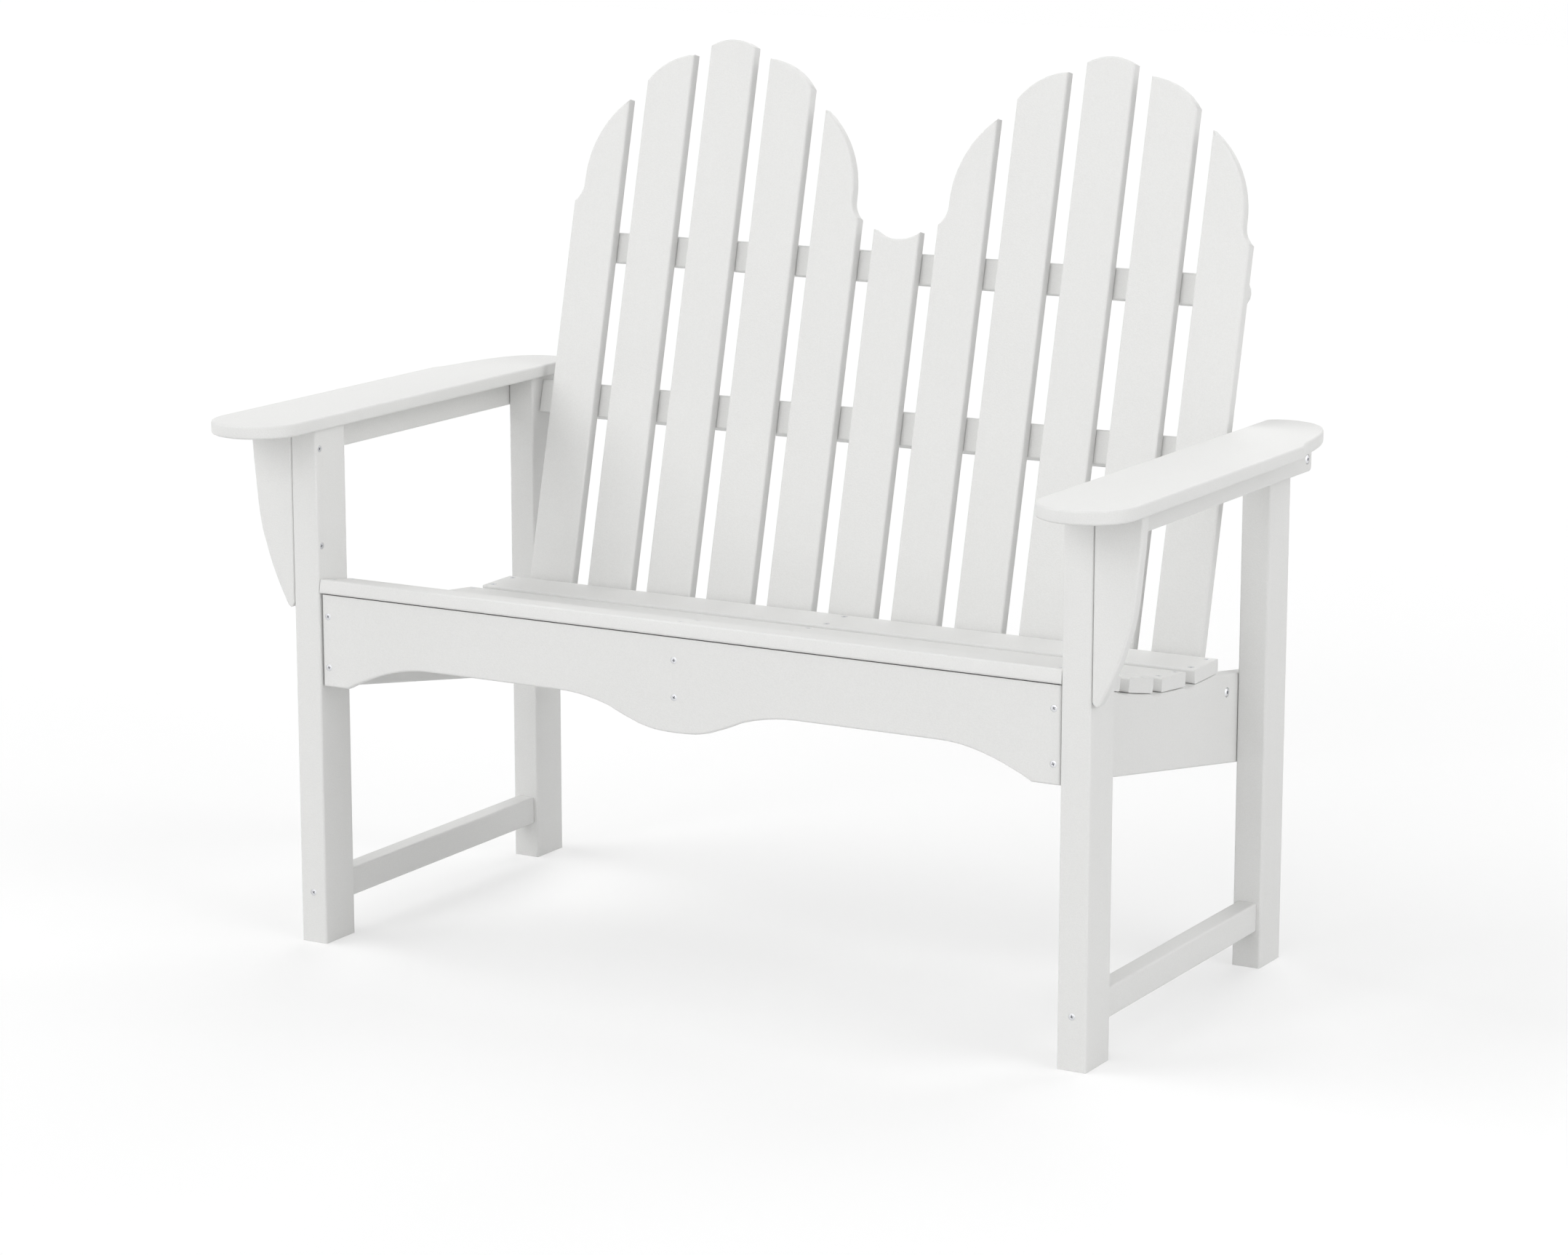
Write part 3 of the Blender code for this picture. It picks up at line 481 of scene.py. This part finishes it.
# Two rows of three in each seat slat, square to its face. The first slat's front row
# lies further in, over the apron. For each slat, where the middle of its upper face
# lies, towards the back and up, and its slope in degrees.
SEAT_SLATS = (
    (-0.21640, 0.4494, -8.9), (-0.13071, 0.4249, -14.2), (-0.04401, 0.4044, -11.8),
    (0.04221, 0.3915, -5.2), (0.13110, 0.3869, 1.0),
)
SLAT_HALF = 0.03245
ROW_INSET = 0.0102
FRONT_ROW_INSET = 0.0161
COLUMNS = (-0.48685, 0.0, 0.48685)
places = []
for count, (y, z, degrees) in enumerate(SEAT_SLATS):
    tilt = math.radians(degrees)
    along = Vector((0.0, math.cos(tilt), math.sin(tilt)))
    upward = Vector((0.0, -math.sin(tilt), math.cos(tilt)))
    first = FRONT_ROW_INSET if count == 0 else ROW_INSET
    for shift in (first - SLAT_HALF, SLAT_HALF - ROW_INSET):
        for x in COLUMNS:
            places.append((
                Vector((x, y, z)) + along * shift - upward * SCREW_SET, upward,
            ))
set_fasteners("seat_slat_screws", screw, places, pale_steel)

# One through each back rail into each back slat, driven from behind. In the two deep
# rails they lie at the bottom of a counterbore, level with those of the flat one. They
# are measured from the foot of the slats' front, up the lean and back from it.
FOOT = Vector((0.0, 0.16894, 0.38747))
SLAT_PITCH = 0.0878
UP_TO_RAILS = (0.4308, 0.23391, -0.0397)
BEHIND_FOOT = 0.0323
upwards = Vector((0.0, math.sin(LEAN), math.cos(LEAN)))
backwards = Vector((0.0, math.cos(LEAN), -math.sin(LEAN)))
places = []
for up in UP_TO_RAILS:
    for count in range(-5, 6):
        point = FOOT + upwards * up + backwards * (BEHIND_FOOT - SCREW_SET)
        places.append((point + Vector((SLAT_PITCH * count, 0.0, 0.0)), backwards))
set_fasteners("back_slat_screws", screw, places, pale_steel)

# Two through each side seat rail into each leg, driven from between the rails.
RAIL_FACE = 0.47295
LEG_SCREWS = (
    (-0.20650, 0.34828), (-0.20650, 0.39973), (0.25035, 0.27475), (0.25035, 0.32512),
)
places = []
for side in (-1.0, 1.0):
    inwards = Vector((-side, 0.0, 0.0))
    for y, z in LEG_SCREWS:
        places.append((
            Vector((side * RAIL_FACE, y, z)) - inwards * SCREW_SET, inwards,
        ))
set_fasteners("seat_rail_screws", screw, places, pale_steel)


# The four bolts with low round heads, two under the arms and two in the seat rails.
# Stainless steel with a six-sided socket, each seated in a shallow counterbore and a
# little proud of it. They pull the back's middle and lower rails tight to the frame.

BOLT_HEAD = 0.0059
BOLT_SHANK = 0.0030
BOLT_PROUD = 0.0011
BOLT_HEAD_HEIGHT = 0.0022 + BOLT_PROUD
BOLT_LENGTH = 0.0132 + BOLT_PROUD
BOLT_STEPS = 32
SOCKET_ACROSS = 0.0021
SOCKET_DEEP = 0.0015

# The head's rounding, in shares of its radius and of its height below the top.
BOLT_CROWN = ((0.55, 0.0), (0.78, 0.14), (0.92, 0.40), (1.0, 0.75), (1.0, 1.0))


def make_bolt():
    """One bolt with the top of its head at the origin."""
    outline = [(0.0, 0.0)]
    outline += [
        (BOLT_HEAD * out, -BOLT_HEAD_HEIGHT * down) for out, down in BOLT_CROWN
    ]
    outline += [
        (BOLT_SHANK, -BOLT_HEAD_HEIGHT), (BOLT_SHANK, -BOLT_LENGTH), (0.0, -BOLT_LENGTH)
    ]
    shape = bmesh.new()
    points = [shape.verts.new((out, 0.0, up)) for out, up in outline]
    for start, end in zip(points, points[1:]):
        shape.edges.new((start, end))
    bmesh.ops.spin(
        shape, geom=shape.verts[:] + shape.edges[:], cent=(0.0, 0.0, 0.0),
        axis=(0.0, 0.0, 1.0), angle=math.tau, steps=BOLT_STEPS, use_merge=True,
    )
    bmesh.ops.remove_doubles(shape, verts=shape.verts, dist=SAME_POINT)
    bmesh.ops.recalc_face_normals(shape, faces=shape.faces)
    mesh = bpy.data.meshes.new("bolt")
    shape.to_mesh(mesh)
    shape.free()

    shape = bmesh.new()
    bmesh.ops.create_cone(
        shape, cap_ends=True, segments=6, radius1=SOCKET_ACROSS, radius2=SOCKET_ACROSS,
        depth=SOCKET_DEEP * 2,
    )
    tool = bpy.data.meshes.new("socket")
    shape.to_mesh(tool)
    shape.free()
    return paint_shade_inside(cut_from(mesh, tool), SOCKET_ACROSS)


bright_steel = steel_finish("bright_steel", (0.75, 0.755, 0.775, 1.0))
bolt = make_bolt()
for side, outward in (("left", (-1.0, 0.0, 0.0)), ("right", (1.0, 0.0, 0.0))):
    stood_for = ["arm_bolt_" + side, "seat_bolt_" + side]
    places = [
        (point + towards * BOLT_PROUD, towards)
        for point, towards in head_places(stood_for, outward)
    ]
    placed = set_fasteners(side + "_bolts", bolt, places, bright_steel)
    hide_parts(*stood_for)


# The studio: a pale floor that keeps the bench's soft shadow, a white surround, six
# broad soft lamps, and the camera at the front right.

WHITE = (1.0, 1.0, 1.0, 1.0)

# The floor's colour in the light that it throws back at the bench, its colour and its
# lift towards white where it is looked at, and half its width.
FLOOR_PALE = (0.80, 0.80, 0.80, 1.0)
FLOOR_SEEN = (0.60, 0.60, 0.60, 1.0)
FLOOR_LIFT = 0.395
FLOOR_HALF = 14.0


def looked_at(recipe):
    """One for what the eye meets, also in a gloss or through glass, and else nought."""
    camera_ray = recipe.node("ShaderNodeLightPath", {}, {}, "Is Camera Ray")
    rays = camera_ray.socket.node.outputs
    return (
        camera_ray
        + Tone(recipe, rays["Is Glossy Ray"])
        + Tone(recipe, rays["Is Transmission Ray"])
    )


shape = bmesh.new()
bmesh.ops.create_grid(shape, x_segments=1, y_segments=1, size=FLOOR_HALF)
mesh = bpy.data.meshes.new("floor")
shape.to_mesh(mesh)
shape.free()
floor = bpy.data.objects.new("floor", mesh)
bpy.context.scene.collection.objects.link(floor)

pale_floor = Finish("pale_floor")
pale_floor.tree.nodes.remove(pale_floor.shader)
floor_seen = looked_at(pale_floor)
tint = pale_floor.between(floor_seen, FLOOR_PALE, FLOOR_SEEN)
matte = pale_floor.node("ShaderNodeBsdfDiffuse", {}, {"Color": tint})
lift = pale_floor.node(
    "ShaderNodeEmission", {}, {"Color": WHITE, "Strength": FLOOR_LIFT * floor_seen}
)
both = pale_floor.node("ShaderNodeAddShader", {}, {0: matte, 1: lift})
pale_floor.plug(pale_floor.tree.nodes["Material Output"].inputs["Surface"], both)
mesh.materials.append(pale_floor.material)

# The surround is white where it is looked at, and lights the bench only faintly.
SURROUND = 0.13
world = bpy.data.worlds.new("surround")
world.use_nodes = True
bpy.context.scene.world = world
surround = Recipe(world.node_tree)
light = surround.tree.nodes["Background"]
surround.plug(light.inputs["Color"], WHITE)
surround.plug(light.inputs["Strength"], SURROUND)
white = surround.node("ShaderNodeBackground", {}, {"Color": WHITE, "Strength": 1.0})
choice = surround.node(
    "ShaderNodeMixShader", {},
    {0: looked_at(surround), 1: Tone(surround, light.outputs[0]), 2: white},
)
surround.plug(surround.tree.nodes["World Output"].inputs["Surface"], choice)

# Each lamp by the way towards it from the bench, and its strength.
LAMPS = (
    ("front_lamp", (0.0, -1.0, 0.25), 1.27),
    ("front_high_lamp", (0.0, -0.8, 0.8), 0.24),
    ("right_lamp", (1.0, 0.0, 0.25), 1.04),
    ("right_high_lamp", (0.8, -0.1, 0.8), 0.52),
    ("left_lamp", (-0.8, -0.3, 0.8), 1.36),
    ("back_lamp", (0.0, 0.8, 0.8), 1.08),
)
LAMP_BREADTH = math.radians(50.0)
for name, towards, energy in LAMPS:
    lamp = bpy.data.lights.new(name, "SUN")
    lamp.energy = energy
    lamp.angle = LAMP_BREADTH
    hung = bpy.data.objects.new(name, lamp)
    bpy.context.scene.collection.objects.link(hung)
    hung.rotation_euler = Vector(towards).to_track_quat("Z", "Y").to_euler()

CAMERA_PLACE = (2.5495, -4.4105, 1.4847)
CAMERA_TURN = (math.radians(78.0), 0.0, math.radians(30.0))
CAMERA_LENS = 100.0
CAMERA_WIDTH = 36.0
CAMERA_REACH = 100.0
view = bpy.data.cameras.new("camera")
view.lens = CAMERA_LENS
view.sensor_width = CAMERA_WIDTH
view.clip_end = CAMERA_REACH
camera = bpy.data.objects.new("camera", view)
bpy.context.scene.collection.objects.link(camera)
camera.location = CAMERA_PLACE
camera.rotation_euler = Euler(CAMERA_TURN)
bpy.context.scene.camera = camera
bpy.context.scene.view_settings.view_transform = "Standard"
